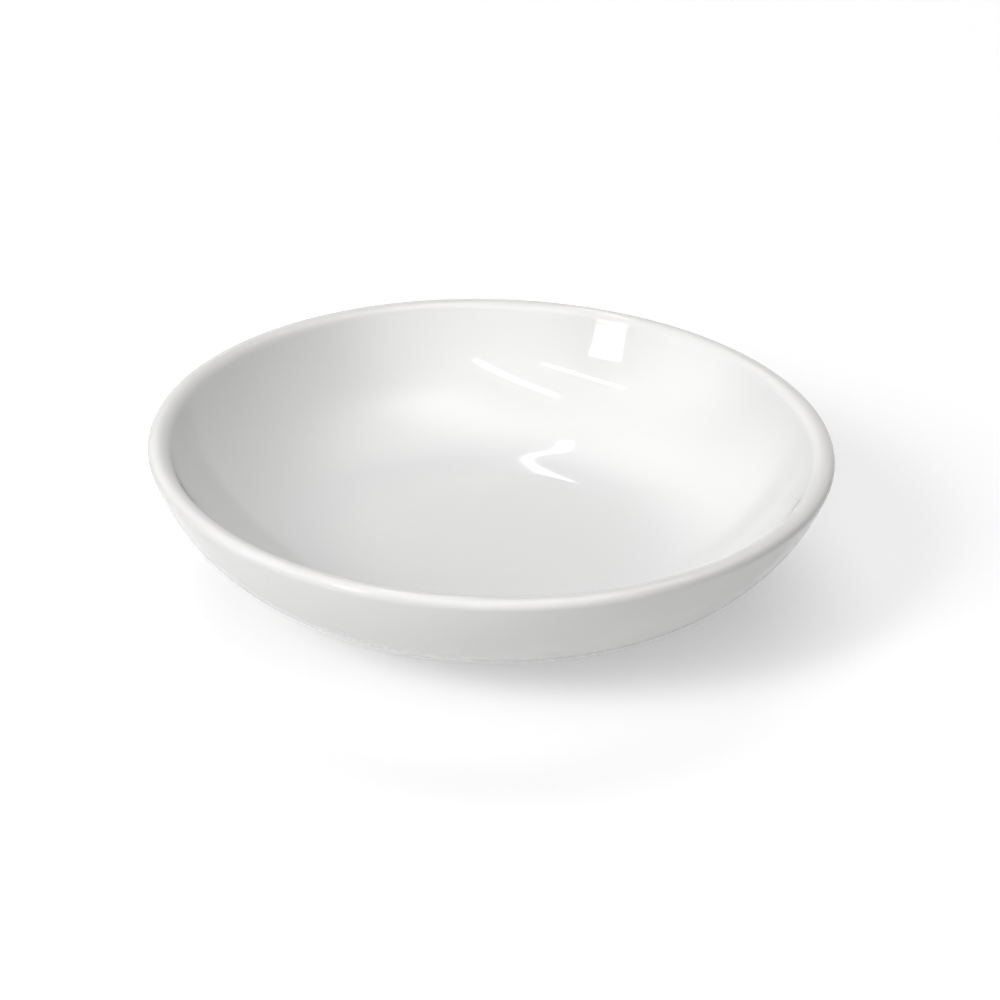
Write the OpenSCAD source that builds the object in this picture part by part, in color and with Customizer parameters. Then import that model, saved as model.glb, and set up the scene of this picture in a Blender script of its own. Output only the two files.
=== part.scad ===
// Small round porcelain sauce dish: a fired body on a bare foot ring, and its two skins of glaze.
// Millimetres, +Z up. The origin is the centre of the foot ring's resting face.

/* [Dish] */
// Diameter over the rim
dish_d = 95; // [80:1:110]
// Height from the resting face to the top of the rim
dish_h = 20.5; // [19:0.5:24]
// Radius of the rim's outer edge
rim_edge_r = 0.9; // [0.6:0.1:1.4]
// Radius of the rim's top and inner side
rim_crown_r = 2; // [1.6:0.1:2.6]
// Height angle at which the outer edge goes over into the top, in degrees
rim_join_a = 65; // [50:5:90]
// Thickness of the floor, glaze included
floor_t = 3; // [2.4:0.1:4]
// Diameter of the level part of the well
well_flat_d = 34; // [28:1:42]
// Radius of the gentle bend from the level part up to the wall
bend_r = 56; // [40:1:80]
// Turn of the gentle bend, in degrees
bend_a = 7; // [4:0.5:10]

/* [Foot ring] */
// Outer diameter of the bare ring
foot_d = 50; // [44:1:56]
// Width of the bare ring
foot_w = 2.8; // [2.2:0.1:3.6]
// Height at which the wall springs from the ring
foot_h = 1.85; // [1.7:0.05:2.4]
// Depth of the glazed recess inside the ring
recess_depth = 1.7; // [1.5:0.05:2.2]
// Radius of the hollow where the wall meets the ring
wall_fillet_r = 0.8; // [0.5:0.1:1]
// Radius of the corner inside the recess, in the body
recess_fillet_r = 1; // [0.6:0.1:1.2]
// Bevel on both edges of the resting face
foot_bevel = 0.4; // [0.2:0.05:0.6]

/* [Glaze] */
// Thickness of the fired glaze
glaze_t = 0.3; // [0.15:0.05:0.4]
// Height of the band wiped bare above the resting face
bare_h = 0.7; // [0.6:0.05:0.8]

/* [Hidden] */
$fn = 180;

// Turn of each step along a round stretch of the section, in degrees
arc_step = 3;

// Sections are drawn in the half plane [distance from the axis, height], glazed face first.
foot_r = foot_d / 2;
foot_in_r = foot_r - foot_w;
foot_glaze_r = foot_r + glaze_t;
foot_mid_r = foot_r - foot_w / 2;
well_r = well_flat_d / 2;
well_z = recess_depth + floor_t;

// Centres of the rim's round top and of its tighter outer edge
rim_step = (rim_crown_r - rim_edge_r) * [cos(rim_join_a), sin(rim_join_a)];
crown_c = [dish_d / 2 - rim_edge_r - rim_step[0], dish_h - rim_crown_r];
edge_c = crown_c + rim_step;

// The well rises from its level part in a gentle bend.
bend_c = [well_r, well_z + bend_r];
bend_up = [-sin(bend_a), cos(bend_a)];
bend_end = bend_c - bend_r * bend_up;

// The inner wall is the arc that follows on from the bend and meets the rim's top without a corner.
inner_span = bend_end - crown_c;
inner_r = (inner_span * inner_span - rim_crown_r ^ 2) / (2 * (rim_crown_r - inner_span * bend_up));
inner_c = bend_end + inner_r * bend_up;
inner_start = bend_a - 90;
inner_end = toward(inner_c, crown_c);

// The outer wall is level over the middle of the foot ring and meets the outer edge the same way.
outer_run = edge_c[0] - foot_mid_r;
outer_rise = edge_c[1] - foot_h;
outer_r = (outer_run ^ 2 + outer_rise ^ 2 - rim_edge_r ^ 2) / (2 * (outer_rise - rim_edge_r));
outer_c = [foot_mid_r, foot_h + outer_r];
outer_start = toward(outer_c, edge_c);

// The hollow touches the outer wall and the upright side of the foot ring.
hollow_x = foot_glaze_r + wall_fillet_r;
hollow_drop = sqrt((outer_r + wall_fillet_r) ^ 2 - (hollow_x - outer_c[0]) ^ 2);
hollow_c = [hollow_x, outer_c[1] - hollow_drop];
outer_end = toward(outer_c, hollow_c);

// Corner between the bare ring and the bare ceiling of the recess
ceiling_z = recess_depth + glaze_t;
corner_c = [foot_in_r - recess_fillet_r, ceiling_z - recess_fillet_r];

// Direction from one point to another, in degrees
function toward(a, b) = atan2(b[1] - a[1], b[0] - a[0]);

// Points of an arc about c from angle a0 to angle a1, both ends included
function arc(c, r, a0, a1) =
    let (n = ceil(abs(a1 - a0) / arc_step))
    [for (i = [0:n]) let (a = a0 + (a1 - a0) * i / n) c + r * [cos(a), sin(a)]];

// The same arc without its first point, to follow on from another one
function arc_on(c, r, a0, a1) =
    let (p = arc(c, r, a0, a1))
    [for (i = [1:len(p) - 1]) p[i]];

function backwards(p) = [for (i = [len(p) - 1:-1:0]) p[i]];

// Upper face of the section at a given depth below the glaze's surface:
// well, inner wall, rim, outer wall and hollow, as far as the ring's upright side
function upper_face(depth) = concat(
    [[0, well_z - depth]],
    arc(bend_c, bend_r + depth, -90, inner_start),
    arc_on(inner_c, inner_r + depth, inner_start, inner_end),
    arc_on(crown_c, rim_crown_r - depth, inner_end + 180, rim_join_a),
    arc_on(edge_c, rim_edge_r - depth, rim_join_a, outer_start),
    arc_on(outer_c, outer_r - depth, outer_start, outer_end),
    arc_on(hollow_c, wall_fillet_r + depth, outer_end + 180, 180)
);

// Underside inside the ring, from the ring's inner side to the axis, lowered by drop
function recess_face(drop) = concat(
    arc(corner_c, recess_fillet_r - drop, 0, 90),
    [[0, ceiling_z - drop]]
);

// Fired body: bare at the foot ring, glazed everywhere else
module porcelain_body() {
    color("antiquewhite")
    rotate_extrude()
    polygon(concat(
        upper_face(glaze_t),
        [
            [foot_r, foot_bevel],
            [foot_r - foot_bevel, 0],
            [foot_in_r + foot_bevel, 0],
            [foot_in_r, foot_bevel]
        ],
        recess_face(0)
    ));
}

// Glaze over the well, the rim and the outside, down to the bare band on the foot ring
module glaze_coat() {
    color("whitesmoke")
    rotate_extrude()
    polygon(concat(
        upper_face(0),
        [
            [foot_glaze_r, bare_h],
            [foot_r, bare_h]
        ],
        backwards(upper_face(glaze_t))
    ));
}

// Glaze patch in the recess, cut off from the coat by the bare ring
module foot_recess_glaze() {
    color("snow")
    rotate_extrude()
    polygon(concat(
        [[foot_in_r, bare_h]],
        recess_face(0),
        backwards(recess_face(glaze_t)),
        [[foot_in_r - glaze_t, bare_h]]
    ));
}

porcelain_body();
glaze_coat();
foot_recess_glaze();
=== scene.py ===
import math

import bpy
from mathutils import Matrix, Vector


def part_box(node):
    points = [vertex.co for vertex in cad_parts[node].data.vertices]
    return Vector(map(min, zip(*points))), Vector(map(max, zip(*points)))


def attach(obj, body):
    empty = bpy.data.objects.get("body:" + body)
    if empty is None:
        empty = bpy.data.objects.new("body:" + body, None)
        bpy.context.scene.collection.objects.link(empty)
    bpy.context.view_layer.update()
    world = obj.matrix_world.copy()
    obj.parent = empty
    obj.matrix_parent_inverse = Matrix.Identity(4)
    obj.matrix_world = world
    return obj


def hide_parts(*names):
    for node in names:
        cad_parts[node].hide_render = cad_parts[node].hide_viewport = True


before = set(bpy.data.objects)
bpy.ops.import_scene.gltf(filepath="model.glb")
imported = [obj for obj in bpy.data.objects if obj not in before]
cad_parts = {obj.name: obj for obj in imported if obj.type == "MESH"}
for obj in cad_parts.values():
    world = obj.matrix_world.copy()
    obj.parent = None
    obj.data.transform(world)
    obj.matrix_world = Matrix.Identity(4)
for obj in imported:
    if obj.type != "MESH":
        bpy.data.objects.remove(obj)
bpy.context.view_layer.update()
scene = bpy.context.scene
scene.view_settings.view_transform = "Standard"
mm = 0.001
print("frame loaded:", ", ".join(sorted(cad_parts)))


class Wire:
    # one socket of a node; + - * / ** on it add Math nodes
    def __init__(self, tree, socket):
        self.tree = tree
        self.socket = socket

    def maths(self, operation, first, second):
        return self.tree.make("ShaderNodeMath", {"operation": operation}, {0: first, 1: second})

    def __add__(self, other):
        return self.maths("ADD", self, other)

    def __radd__(self, other):
        return self.maths("ADD", other, self)

    def __sub__(self, other):
        return self.maths("SUBTRACT", self, other)

    def __rsub__(self, other):
        return self.maths("SUBTRACT", other, self)

    def __mul__(self, other):
        return self.maths("MULTIPLY", self, other)

    def __rmul__(self, other):
        return self.maths("MULTIPLY", other, self)

    def __truediv__(self, other):
        return self.maths("DIVIDE", self, other)

    def __pow__(self, other):
        return self.maths("POWER", self, other)

    def out(self, name):
        return Wire(self.tree, self.socket.node.outputs[name])


class Tree:
    # makes the nodes of a material, a world or a geometry group
    def __init__(self, nodeTree):
        self.nodeTree = nodeTree

    def make(self, kind, settings=None, sockets=None, output=0):
        node = self.nodeTree.nodes.new(kind)
        for name, value in (settings or {}).items():
            if name == "stops":
                self.setStops(node.color_ramp, value)
            else:
                setattr(node, name, value)
        for name, value in (sockets or {}).items():
            if isinstance(value, Wire):
                self.nodeTree.links.new(value.socket, node.inputs[name])
            else:
                node.inputs[name].default_value = value
        return Wire(self, node.outputs[output]) if len(node.outputs) else node

    def setStops(self, ramp, stops):
        while len(ramp.elements) < len(stops):
            ramp.elements.new(0.5)
        for element, (place, shade) in zip(ramp.elements, stops):
            element.position = place
            element.color = (shade, shade, shade, 1)

    def mixColour(self, factor, first, second):
        sockets = {0: factor, 6: first, 7: second}
        return self.make("ShaderNodeMix", {"data_type": "RGBA"}, sockets, output=2)

    def noise(self, place, scale, detail, rough=0.5):
        sockets = {"Vector": place, "Scale": scale, "Detail": detail, "Roughness": rough}
        return self.make("ShaderNodeTexNoise", None, sockets)

    def ramp(self, value, stops):
        ramped = self.make("ShaderNodeValToRGB", {"stops": stops}, {"Fac": value})
        ramped.socket.node.color_ramp.interpolation = "EASE"
        return ramped


def materialTree(name):
    material = bpy.data.materials.new(name)
    material.use_nodes = True
    material.node_tree.nodes.clear()
    return material, Tree(material.node_tree)


# Camera, at the photograph's viewing angle
cameraView = {
    "elevation": 28.579,  # degrees above the table
    "distance": 475 * mm,  # from the centre of the foot
    "turn": 0.165,  # degrees, to the right of the foot's centre
    "rise": 1.127,  # degrees, above it
    "roll": 1.517,  # degrees, clockwise in the picture
    "lens": 120.964,  # focal length and sensor width, in real millimetres
    "sensor": 36,
}


def placeCamera(view):
    elevation, turn, rise, roll = (
        math.radians(view[name]) for name in ("elevation", "turn", "rise", "roll")
    )
    place = Vector((0, -math.cos(elevation), math.sin(elevation))) * view["distance"]
    level = Vector((1, 0, 0))
    onward = -place.normalized()
    upward = level.cross(onward)
    look = math.cos(rise) * (math.cos(turn) * onward + math.sin(turn) * level) + math.sin(rise) * upward
    side = math.cos(turn) * level - math.sin(turn) * onward
    over = side.cross(look)
    right = math.cos(roll) * side + math.sin(roll) * over
    top = math.cos(roll) * over - math.sin(roll) * side
    data = bpy.data.cameras.new("camera")
    data.lens = view["lens"]
    data.sensor_width = view["sensor"]
    camera = bpy.data.objects.new("camera", data)
    camera.matrix_world = Matrix.Translation(place) @ Matrix((right, top, -look)).transposed().to_4x4()
    scene.collection.objects.link(camera)
    scene.camera = camera


placeCamera(cameraView)
print("camera placed")

# The dish's section. Its outer sizes come from the frame; the rest is as the potter's profile has it.
dish = {
    "rimOut": 0.9 * mm,  # radius of the rim's outer side
    "rimIn": 2 * mm,  # radius of its top and inner side
    "rimJoin": 65,  # degrees from level at which the one goes over into the other
    "floorThick": 3 * mm,
    "bendMiddle": 20.44 * mm,  # distance from the axis at which the floor has bent halfway
    "bendHalf": 6.1 * mm,  # half the width of that bend
    "footWide": 2.8 * mm,
    "footHigh": 1.85 * mm,
    "wallHollow": 0.8 * mm,
    "recessCorner": 1 * mm,
    "footRound": 0.4 * mm,
    "stepAngle": 4,  # degrees turned by one step of an arc, at most
    "stepLength": 0.9 * mm,
    "samePoint": 0.0001 * mm,  # points closer than this are one
    "innerGuess": 27.3 * mm,  # a first guess of the inner wall's radius
    "innerRounds": 4,  # and how often it is bettered
}

coatLow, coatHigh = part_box("glaze_coat")
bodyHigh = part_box("porcelain_body")[1]
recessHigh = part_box("foot_recess_glaze")[1]
rimRadius = coatHigh.x
dishHigh = coatHigh.z
glazeThick = coatHigh.x - bodyHigh.x
bareHigh = coatLow.z
footIn = recessHigh.x
footOut = footIn + dish["footWide"]
footMid = footIn + dish["footWide"] / 2
ceiling = recessHigh.z
wellHigh = ceiling - glazeThick + dish["floorThick"]
rimOut, rimIn, rimJoin = dish["rimOut"], dish["rimIn"], math.radians(dish["rimJoin"])
joinStep = (rimIn - rimOut) * Vector((math.cos(rimJoin), math.sin(rimJoin)))
beadIn = Vector((rimRadius - rimOut - joinStep.x, dishHigh - rimIn))
beadOut = beadIn + joinStep


def angleTo(start, end):
    return math.atan2(end.y - start.y, end.x - start.x)


def arc(centre, radius, first, last):
    turn = abs(last - first)
    steps = max(
        math.ceil(turn / math.radians(dish["stepAngle"])),
        math.ceil(turn * radius / dish["stepLength"]),
    )
    return [
        centre + radius * Vector((math.cos(angle), math.sin(angle)))
        for angle in (first + (last - first) * step / steps for step in range(steps + 1))
    ]


def gentleBend(depth):
    # from the level floor to the inner wall's arc, the curve growing evenly on the way
    middle, half = dish["bendMiddle"], dish["bendHalf"]
    radius, height = middle + half, innerCentre.y - math.sqrt(innerRadius**2 - half**2)
    steps = math.ceil(2 * half / dish["stepLength"]) * 2
    points = []
    for step in range(steps + 1):
        slope = (radius - middle + half) ** 2 / (4 * half * innerRadius)
        upright = math.sqrt(1 - slope**2)
        points.append(Vector((radius + slope * depth, height - upright * depth)))
        radius -= 2 * half / steps
        between = (radius + half / steps - middle + half) ** 2 / (4 * half * innerRadius)
        height -= between / math.sqrt(1 - between**2) * 2 * half / steps
    return points[::-1]


def straight(start, end):
    steps = max(1, math.ceil((end - start).length / dish["stepLength"]))
    return [start.lerp(end, step / steps) for step in range(steps + 1)]


def joined(*runs):
    points = []
    for run in runs:
        points += [point for point in run if not points or (point - points[-1]).length > dish["samePoint"]]
    return points


# the inner wall's arc would touch a floor a little above the real one,
# by the square of the bend over six radii
innerRadius = dish["innerGuess"]
for guess in range(dish["innerRounds"]):
    innerLow = wellHigh + dish["bendHalf"] ** 2 / (6 * innerRadius)
    innerRun = beadIn.x - dish["bendMiddle"]
    innerRise = beadIn.y - innerLow
    innerRadius = (innerRun**2 + innerRise**2 - rimIn**2) / (2 * (innerRise + rimIn))
innerCentre = Vector((dish["bendMiddle"], innerLow + innerRadius))
innerStart = math.asin(dish["bendHalf"] / innerRadius) - math.pi / 2
innerEnd = angleTo(innerCentre, beadIn)
outerRun = beadOut.x - footMid
outerRise = beadOut.y - dish["footHigh"]
outerRadius = (outerRun**2 + outerRise**2 - rimOut**2) / (2 * (outerRise - rimOut))
outerCentre = Vector((footMid, dish["footHigh"] + outerRadius))
outerStart = angleTo(outerCentre, beadOut)
hollow = Vector((footOut + glazeThick + dish["wallHollow"], 0))
hollowAway = outerRadius + dish["wallHollow"]
hollow.y = outerCentre.y - math.sqrt(hollowAway**2 - (hollow.x - outerCentre.x) ** 2)
outerEnd = angleTo(outerCentre, hollow)
corner = Vector((footIn - dish["recessCorner"], ceiling - dish["recessCorner"]))


def upperFace(depth):
    # from the middle of the well over the rim to the upright side of the foot ring
    bend = gentleBend(depth)
    return joined(
        straight(Vector((0, bend[0].y)), bend[0]),
        bend,
        arc(innerCentre, innerRadius + depth, innerStart, innerEnd),
        arc(beadIn, rimIn - depth, innerEnd + math.pi, rimJoin),
        arc(beadOut, rimOut - depth, rimJoin, outerStart),
        arc(outerCentre, outerRadius - depth, outerStart, outerEnd),
        arc(hollow, dish["wallHollow"] + depth, outerEnd + math.pi, math.pi),
    )


def recessFace(drop):
    # from the inner side of the foot ring to the middle of the underside
    return joined(
        arc(corner, dish["recessCorner"] - drop, 0, math.pi / 2),
        straight(Vector((corner.x, ceiling - drop)), Vector((0, ceiling - drop))),
    )


def bodySection():
    soft = dish["footRound"]
    outCorner = Vector((footOut - soft, soft))
    inCorner = Vector((footIn + soft, soft))
    return joined(
        upperFace(glazeThick),
        straight(Vector((footOut, hollow.y)), Vector((footOut, soft))),
        arc(outCorner, soft, 0, -math.pi / 2),
        straight(Vector((outCorner.x, 0)), Vector((inCorner.x, 0))),
        arc(inCorner, soft, -math.pi / 2, -math.pi),
        straight(Vector((footIn, soft)), Vector((footIn, corner.y))),
        recessFace(0),
    )


def coatSection():
    lip = glazeThick / 2
    lipCentre = Vector((footOut + lip, bareHigh + lip))
    return joined(
        upperFace(0),
        straight(Vector((footOut + glazeThick, hollow.y)), Vector((footOut + glazeThick, bareHigh + lip))),
        arc(lipCentre, lip, 0, -math.pi),
        straight(Vector((footOut, bareHigh + lip)), Vector((footOut, hollow.y))),
        upperFace(glazeThick)[::-1],
    )


def recessSection():
    lip = glazeThick / 2
    lipCentre = Vector((footIn - lip, bareHigh + lip))
    return joined(
        recessFace(0)[::-1],
        straight(Vector((footIn, corner.y)), Vector((footIn, bareHigh + lip))),
        arc(lipCentre, lip, 0, -math.pi),
        straight(Vector((footIn - glazeThick, bareHigh + lip)), Vector((footIn - glazeThick, corner.y))),
        recessFace(glazeThick),
    )


# Glaze: clear glossy white, fired smooth, with the little unevenness that fired glaze keeps
glaze = {
    "colour": (0.8, 0.8, 0.793, 1),
    "pooledColour": (0.775, 0.787, 0.782, 1),
    "thinColour": (0.815, 0.8, 0.775, 1),
    "pooledAt": [(0.3, 0), (0.5, 1), (0.74, 0)],  # shares of the rim's radius
    "thinAt": [(0.93, 0), (1, 1)],  # shares of the dish's height
    "thinMost": 0.6,
    "cloudSize": 14 * mm,
    "fineSize": 0.9 * mm,
    "roughness": 0.035,
    "roughnessSpread": 0.03,
    "peelSize": 3.2 * mm,
    "peelHeight": 0.0045 * mm,
    "ior": 1.5,
}


def glazeMaterial(name):
    material, tree = materialTree(name)
    place = tree.make("ShaderNodeTexCoord").out("Object")
    split = tree.make("ShaderNodeSeparateXYZ", None, {0: place})
    x, y, z = split.out("X"), split.out("Y"), split.out("Z")
    radius = (x * x + y * y) ** 0.5
    cloud = tree.noise(place, 1 / glaze["cloudSize"], 2)
    fine = tree.noise(place, 1 / glaze["fineSize"], 2)
    pooled = tree.ramp(radius / rimRadius, glaze["pooledAt"])
    colour = tree.mixColour(pooled * cloud, glaze["colour"], glaze["pooledColour"])
    thin = tree.ramp(z / dishHigh, glaze["thinAt"]) * glaze["thinMost"]
    colour = tree.mixColour(thin, colour, glaze["thinColour"])
    roughness = glaze["roughness"] + fine * cloud * glaze["roughnessSpread"]
    peel = tree.noise(place, 1 / glaze["peelSize"], 1.5, 0.4)
    bump = tree.make("ShaderNodeBump", None, {"Height": peel * glaze["peelHeight"], "Distance": 1})
    shader = tree.make(
        "ShaderNodeBsdfPrincipled", None,
        {"Base Color": colour, "Roughness": roughness, "Normal": bump, "IOR": glaze["ior"]},
    )
    tree.make("ShaderNodeOutputMaterial", None, {"Surface": shader})
    return material


# Bisque: the bare fired ring, matt, greyed and smoothed in patches where it stands on the table
bisque = {
    "colour": (0.8, 0.77, 0.71, 1),
    "worn": (0.66, 0.64, 0.6, 1),
    "rubbedAt": [(0, 1), (0.35, 0)],  # shares of the bare band's height
    "patches": [(0.42, 0), (0.62, 1)],
    "patchSize": 6 * mm,
    "roughness": 0.72,
    "wornSmooth": 0.2,
    "grain": 0.25 * mm,
    "grainHeight": 0.012 * mm,
}


def bisqueMaterial():
    material, tree = materialTree("bareBisque")
    place = tree.make("ShaderNodeTexCoord").out("Object")
    z = tree.make("ShaderNodeSeparateXYZ", None, {0: place}).out("Z")
    grain = tree.noise(place, 1 / bisque["grain"], 3)
    patch = tree.noise(place, 1 / bisque["patchSize"], 3)
    worn = tree.ramp(z / bareHigh, bisque["rubbedAt"]) * tree.ramp(patch, bisque["patches"])
    colour = tree.mixColour(worn, bisque["colour"], bisque["worn"])
    bump = tree.make("ShaderNodeBump", None, {"Height": grain * bisque["grainHeight"], "Distance": 1})
    roughness = bisque["roughness"] - worn * bisque["wornSmooth"]
    shader = tree.make(
        "ShaderNodeBsdfPrincipled", None,
        {"Base Color": colour, "Roughness": roughness, "Normal": bump},
    )
    tree.make("ShaderNodeOutputMaterial", None, {"Surface": shader})
    return material


glazeFinish = glazeMaterial("whiteGlaze")
recessFinish = glazeMaterial("recessGlaze")
bisqueFinish = bisqueMaterial()
print("materials made")

# Turning on the wheel: a section is swept round the axis, as the piece was formed
wheel = {
    "steps": 240,
    "outOfRound": 0.05 * mm,
    "rimWave": 0.05 * mm,
    "rimWaveScale": 0.9,
    "edgeWave": 0.1 * mm,
    "edgeWaveScale": 9,
    "edgeWaveLow": 0.35,  # the noise's level at which the edge stays in place
    "edgeFade": 0.35 * mm,
    "weld": 0.0005 * mm,
    "sharpAngle": 40,  # degrees; edges that turn more stay crisp
}


def wheelTree():
    group = bpy.data.node_groups.new("turnedOnWheel", "GeometryNodeTree")
    wanted = (
        ("Section", "NodeSocketGeometry"),
        ("Steps", "NodeSocketInt"),
        ("Rim radius", "NodeSocketFloat"),
        ("Height", "NodeSocketFloat"),
        ("Out of round", "NodeSocketFloat"),
        ("Rim wave", "NodeSocketFloat"),
        ("Edge height", "NodeSocketFloat"),
        ("Edge wave", "NodeSocketFloat"),
        ("Material", "NodeSocketMaterial"),
    )
    for name, kind in wanted:
        group.interface.new_socket(name, in_out="INPUT", socket_type=kind)
    group.interface.new_socket("Piece", in_out="OUTPUT", socket_type="NodeSocketGeometry")
    tree = Tree(group)
    given = tree.make("NodeGroupInput")
    size = {"component": "MESH"}
    rows = tree.make("GeometryNodeAttributeDomainSize", size, {"Geometry": given.out("Section")})
    grid = tree.make(
        "GeometryNodeMeshGrid", None,
        {"Size X": 1, "Size Y": 1, "Vertices X": given.out("Steps") + 1, "Vertices Y": rows},
    )
    index = tree.make("GeometryNodeInputIndex")
    row = index.maths("MODULO", index, rows)
    column = (index - row) / rows
    sampled = tree.make(
        "GeometryNodeSampleIndex", {"data_type": "FLOAT_VECTOR", "domain": "POINT"},
        {"Geometry": given.out("Section"), "Value": tree.make("GeometryNodeInputPosition"), "Index": row},
    )
    split = tree.make("ShaderNodeSeparateXYZ", None, {0: sampled})
    radius, height = split.out("X"), split.out("Z")
    turn = column / given.out("Steps") * (-2 * math.pi)
    cosine, sine = turn.maths("COSINE", turn, 0), turn.maths("SINE", turn, 0)
    around = tree.make("ShaderNodeCombineXYZ", None, {0: cosine, 1: sine, 2: 0})
    # the kiln leaves the rim slightly oval and uneven, and the foot flat
    high = height / given.out("Height")
    oval = (cosine * sine + 0.5) * given.out("Out of round") * high
    wave = tree.noise(around, wheel["rimWaveScale"], 1)
    rise = wave * given.out("Rim wave") * high * high
    # the edge of the glaze wanders where it was wiped off the foot
    edge = tree.noise(around, wheel["edgeWaveScale"], 3)
    near = 1 - (height - given.out("Edge height")) / wheel["edgeFade"]
    near = near.maths("MAXIMUM", near.maths("MINIMUM", near, 1), 0)
    lift = (edge - wheel["edgeWaveLow"]) * given.out("Edge wave") * near
    spread = radius - radius / given.out("Rim radius") * oval
    moved = tree.make(
        "ShaderNodeCombineXYZ", None,
        {0: spread * cosine, 1: spread * sine, 2: height - rise + lift},
    )
    turned = tree.make("GeometryNodeSetPosition", None, {"Geometry": grid, "Position": moved})
    closed = tree.make("GeometryNodeMergeByDistance", None, {"Geometry": turned, "Distance": wheel["weld"]})
    smooth = tree.make(
        "GeometryNodeSetShadeSmooth", {"domain": "FACE"},
        {"Geometry": closed, "Shade Smooth": True},
    )
    bend = tree.make("GeometryNodeInputMeshEdgeAngle").out("Unsigned Angle")
    crisp = bend.maths("GREATER_THAN", bend, math.radians(wheel["sharpAngle"]))
    edged = tree.make(
        "GeometryNodeSetShadeSmooth", {"domain": "EDGE"},
        {"Geometry": smooth, "Selection": crisp, "Shade Smooth": False},
    )
    real = tree.make("GeometryNodeRealizeInstances", None, {"Geometry": edged})
    done = tree.make("GeometryNodeSetMaterial", None, {"Geometry": real, "Material": given.out("Material")})
    tree.make("NodeGroupOutput", None, {"Piece": done})
    return group


wheelGroup = wheelTree()


def turnPiece(name, section, material, edgeWave):
    line = bpy.data.meshes.new(name + "Section")
    links = [(i, i + 1) for i in range(len(section) - 1)]
    line.from_pydata([(point.x, 0, point.y) for point in section], links, [])
    blank = bpy.data.objects.new(name + "Blank", line)
    scene.collection.objects.link(blank)
    modifier = blank.modifiers.new("wheel", "NODES")
    modifier.node_group = wheelGroup
    values = {
        "Steps": wheel["steps"],
        "Rim radius": rimRadius,
        "Height": dishHigh,
        "Out of round": wheel["outOfRound"],
        "Rim wave": wheel["rimWave"],
        "Edge height": bareHigh,
        "Edge wave": edgeWave,
        "Material": material,
    }
    for item in wheelGroup.interface.items_tree:
        if item.name in values:
            modifier[item.identifier] = values[item.name]
    bpy.context.view_layer.update()
    evaluated = blank.evaluated_get(bpy.context.evaluated_depsgraph_get())
    mesh = bpy.data.meshes.new_from_object(evaluated)
    blank.modifiers.remove(modifier)
    bpy.data.objects.remove(blank)
    mesh.name = name
    piece = bpy.data.objects.new(name, mesh)
    scene.collection.objects.link(piece)
    print(name, "turned:", len(mesh.polygons), "faces")
    return piece


body = turnPiece("firedBody", bodySection(), bisqueFinish, 0)
coat = turnPiece("glazeCoat", coatSection(), glazeFinish, wheel["edgeWave"])
recess = turnPiece("recessGlaze", recessSection(), recessFinish, wheel["edgeWave"])

for piece, node, slot in (
    (body, "porcelain_body", "bisque"),
    (coat, "glaze_coat", "glaze"),
    (recess, "foot_recess_glaze", "foot_glaze"),
):
    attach(piece, "root")
    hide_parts(node)

# Floor: pale and plain, white to the camera, and it keeps the dish's shadow
floor = {"radius": 6, "sides": 96, "colour": (0.82, 0.82, 0.82, 1), "lift": 0.37}


def seenOrMirrored(tree):
    # 1 for what the camera sees, straight or in a mirror or glass
    path = tree.make("ShaderNodeLightPath")
    seen = path.maths("MAXIMUM", path.out("Is Camera Ray"), path.out("Is Glossy Ray"))
    return seen.maths("MAXIMUM", seen, path.out("Is Transmission Ray"))


def makeFloor():
    material, tree = materialTree("paleFloor")
    seen = seenOrMirrored(tree)
    matt = tree.make("ShaderNodeBsdfDiffuse", None, {"Color": floor["colour"]})
    glow = tree.make("ShaderNodeEmission", None, {"Color": (1, 1, 1, 1), "Strength": seen * floor["lift"]})
    both = tree.make("ShaderNodeAddShader", None, {0: matt, 1: glow})
    # clear from below, so the foot can be looked at through it
    below = tree.make("ShaderNodeNewGeometry").out("Backfacing")
    clear = tree.make("ShaderNodeBsdfTransparent")
    mixed = tree.make("ShaderNodeMixShader", None, {0: below, 1: both, 2: clear})
    tree.make("ShaderNodeOutputMaterial", None, {"Surface": mixed})
    mesh = bpy.data.meshes.new("floor")
    turns = [2 * math.pi * side / floor["sides"] for side in range(floor["sides"])]
    edge = [(floor["radius"] * math.cos(turn), floor["radius"] * math.sin(turn), 0) for turn in turns]
    mesh.from_pydata(edge, [], [list(range(len(edge)))])
    mesh.materials.append(material)
    piece = bpy.data.objects.new("floor", mesh)
    scene.collection.objects.link(piece)


makeFloor()

# World: white to the camera and in the glaze; the lamps do the lighting
world = {"colour": (1, 1, 1, 1), "strength": 1}


def makeWorld():
    scene.world = bpy.data.worlds.new("studio")
    scene.world.use_nodes = True
    scene.world.node_tree.nodes.clear()
    tree = Tree(scene.world.node_tree)
    strength = seenOrMirrored(tree) * world["strength"]
    background = tree.make("ShaderNodeBackground", None, {"Color": world["colour"], "Strength": strength})
    tree.make("ShaderNodeOutputWorld", None, {"Surface": background})


makeWorld()

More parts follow.
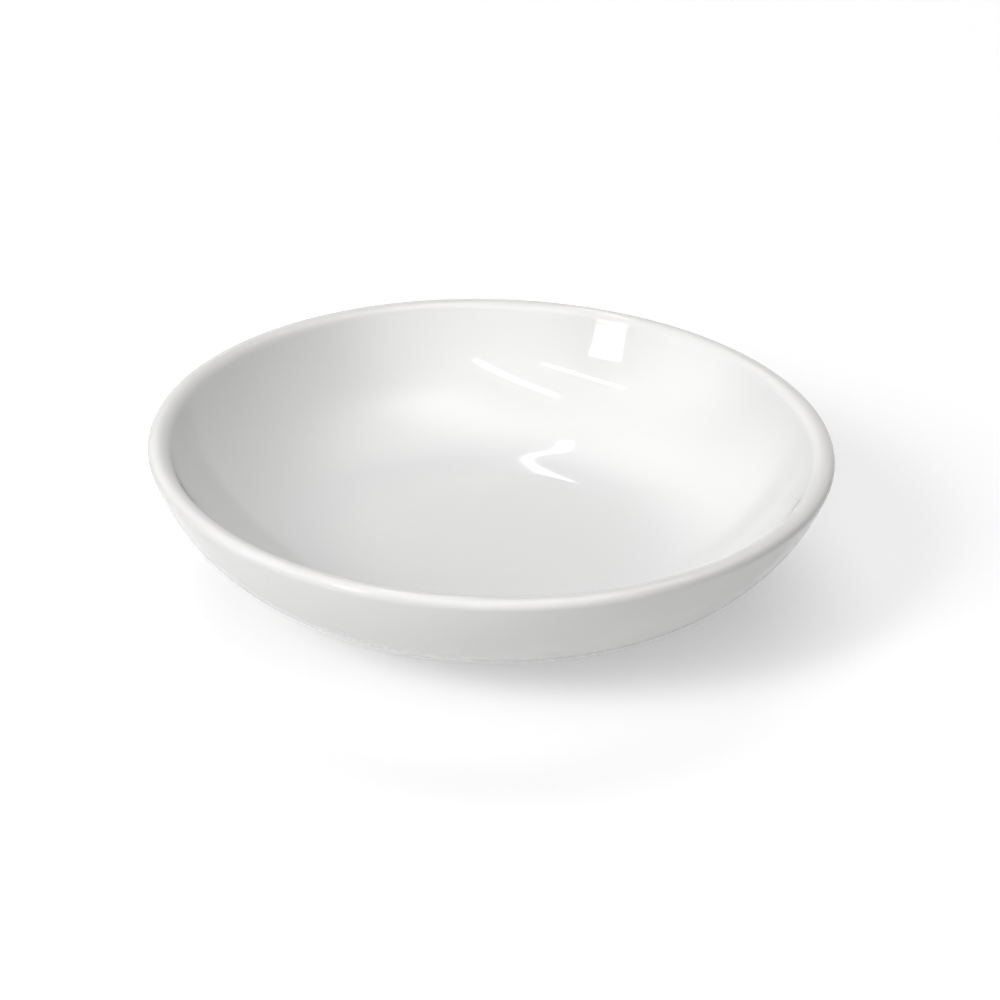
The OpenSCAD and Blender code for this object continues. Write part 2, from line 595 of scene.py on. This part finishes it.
# Lamps, each given by the direction it shines from, in degrees; azimuth 0 is behind the dish, 90 to its right
lamps = {
    "softbox": {
        "azimuth": -130.5, "elevation": 40.4, "distance": 1.4, "size": (0.265, 0.46), "turn": 18,
        "fade": 0.04, "watts": 3,
    },
    # these light the dish softly and don't show in the glaze
    "back": {
        "azimuth": 0, "elevation": 48, "distance": 1.5, "size": (2.4, 1.6), "turn": 0,
        "fade": 0.9, "watts": 28, "mirrored": False,
    },
    "front": {
        "azimuth": 180, "elevation": 20, "distance": 1.5, "size": (1, 1), "turn": 0,
        "fade": 0.9, "watts": 12, "mirrored": False,
    },
    "key": {
        "azimuth": -124, "elevation": 30, "distance": 1.5, "size": (1.2, 1.2), "turn": 0,
        "fade": 0.9, "watts": 26.5, "mirrored": False,
    },
    "ceiling": {
        "azimuth": 180, "elevation": 70, "distance": 1.5, "size": (2.6, 2.6), "turn": 0,
        "fade": 0.9, "watts": 20, "mirrored": False,
    },
}

# Pale round panels that show softly in the glaze and light nothing; reach is the angle from middle to edge
panelShape = {"distance": 1.5, "turn": 0, "fade": 0.9, "lighting": False}
panels = {
    "overDish": {"azimuth": -36, "elevation": 82, "reach": 48, "glow": 2.9},
    "overCamera": {"azimuth": 167, "elevation": 42, "reach": 48, "glow": 3},
    "backLeft": {"azimuth": -36, "elevation": 34, "reach": 34, "glow": 1.3},
    "left": {"azimuth": -96, "elevation": 34, "reach": 34, "glow": 2.5},
    "overRight": {"azimuth": 75, "elevation": 78, "reach": 18, "glow": 2.3},
    "overBack": {"azimuth": 8, "elevation": 72, "reach": 15, "glow": 0.9},
}

# Slender lamps overhead, along points in metres; the well mirrors them as streaks, and they light nothing
tubes = {
    "height": 2,
    "longTube": {"path": ((0.205, -1.025), (-0.505, -0.123)), "widths": (0.085,), "glow": 10},
    "shortTube": {"path": ((-0.54, -0.955), (-1.3, -0.27)), "widths": (0.085,), "glow": 8},
    "bentTube": {
        "path": ((-0.34, 1.1), (-0.25, 1.46), (-0.17, 1.66), (-0.1, 1.9), (-0.065, 2.2), (-0.032, 3.04)),
        "widths": (0.078, 0.052, 0.034, 0.024, 0.022),
        "glow": 6.5,
    },
}


def makeLamp(name, lamp):
    azimuth, elevation = math.radians(lamp["azimuth"]), math.radians(lamp["elevation"])
    direction = Vector((
        math.cos(elevation) * math.sin(azimuth),
        math.cos(elevation) * math.cos(azimuth),
        math.sin(elevation),
    ))
    data = bpy.data.lights.new(name, "AREA")
    data.shape = "RECTANGLE" if lamp["fade"] < 0.5 else "ELLIPSE"
    data.size, data.size_y = lamp["size"]
    data.energy = lamp["watts"]
    # the light fades towards the lamp's edge, as in a softbox
    data.use_nodes = True
    data.node_tree.nodes.clear()
    tree = Tree(data.node_tree)
    face = tree.make("ShaderNodeNewGeometry").out("Parametric")
    split = tree.make("ShaderNodeSeparateXYZ", None, {0: face})
    across, along = split.out("X") - 0.5, split.out("Y") - 0.5
    if data.shape == "ELLIPSE":
        edge = 0.5 - (across * across + along * along) ** 0.5
    else:
        across, along = across.maths("ABSOLUTE", across, 0), along.maths("ABSOLUTE", along, 0)
        edge = 0.5 - across.maths("MAXIMUM", across, along)
    faded = tree.make(
        "ShaderNodeMapRange", {"interpolation_type": "SMOOTHSTEP"},
        {"Value": edge, "From Min": 0, "From Max": lamp["fade"] / 2},
    )
    glow = tree.make("ShaderNodeEmission", None, {"Color": (1, 1, 1, 1), "Strength": faded})
    tree.make("ShaderNodeOutputLight", None, {"Surface": glow})
    made = bpy.data.objects.new(name, data)
    made.location = direction * lamp["distance"]
    turn = Matrix.Rotation(math.radians(lamp["turn"]), 3, "Z")
    facing = direction.to_track_quat("Z", "Y").to_matrix() @ turn
    made.rotation_euler = facing.to_euler()
    made.visible_camera = False
    made.visible_glossy = lamp.get("mirrored", True)
    made.visible_diffuse = lamp.get("lighting", True)
    scene.collection.objects.link(made)


def makePanel(name, panel):
    across = 2 * panelShape["distance"] * math.tan(math.radians(panel["reach"]))
    # a round lamp's watts are its area times pi times its glow
    watts = math.pi * math.pi / 4 * across**2 * panel["glow"]
    makeLamp(name, {**panel, **panelShape, "size": (across, across), "watts": watts})


def makeTube(name, tube):
    points = [Vector((*point, tubes["height"])) for point in tube["path"]]
    for start, end, width in zip(points, points[1:], tube["widths"]):
        data = bpy.data.lights.new(name, "AREA")
        data.shape = "RECTANGLE"
        data.size, data.size_y = (end - start).length, width
        data.energy = math.pi * data.size * data.size_y * tube["glow"]
        made = bpy.data.objects.new(name, data)
        made.location = (start + end) / 2
        made.rotation_euler = (0, 0, math.atan2(end.y - start.y, end.x - start.x))
        made.visible_camera = False
        made.visible_diffuse = False
        scene.collection.objects.link(made)


for name, lamp in lamps.items():
    makeLamp(name, lamp)
for name, panel in panels.items():
    makePanel(name, panel)
for name in ("longTube", "shortTube", "bentTube"):
    makeTube(name, tubes[name])
print("floor, world and lamps made")
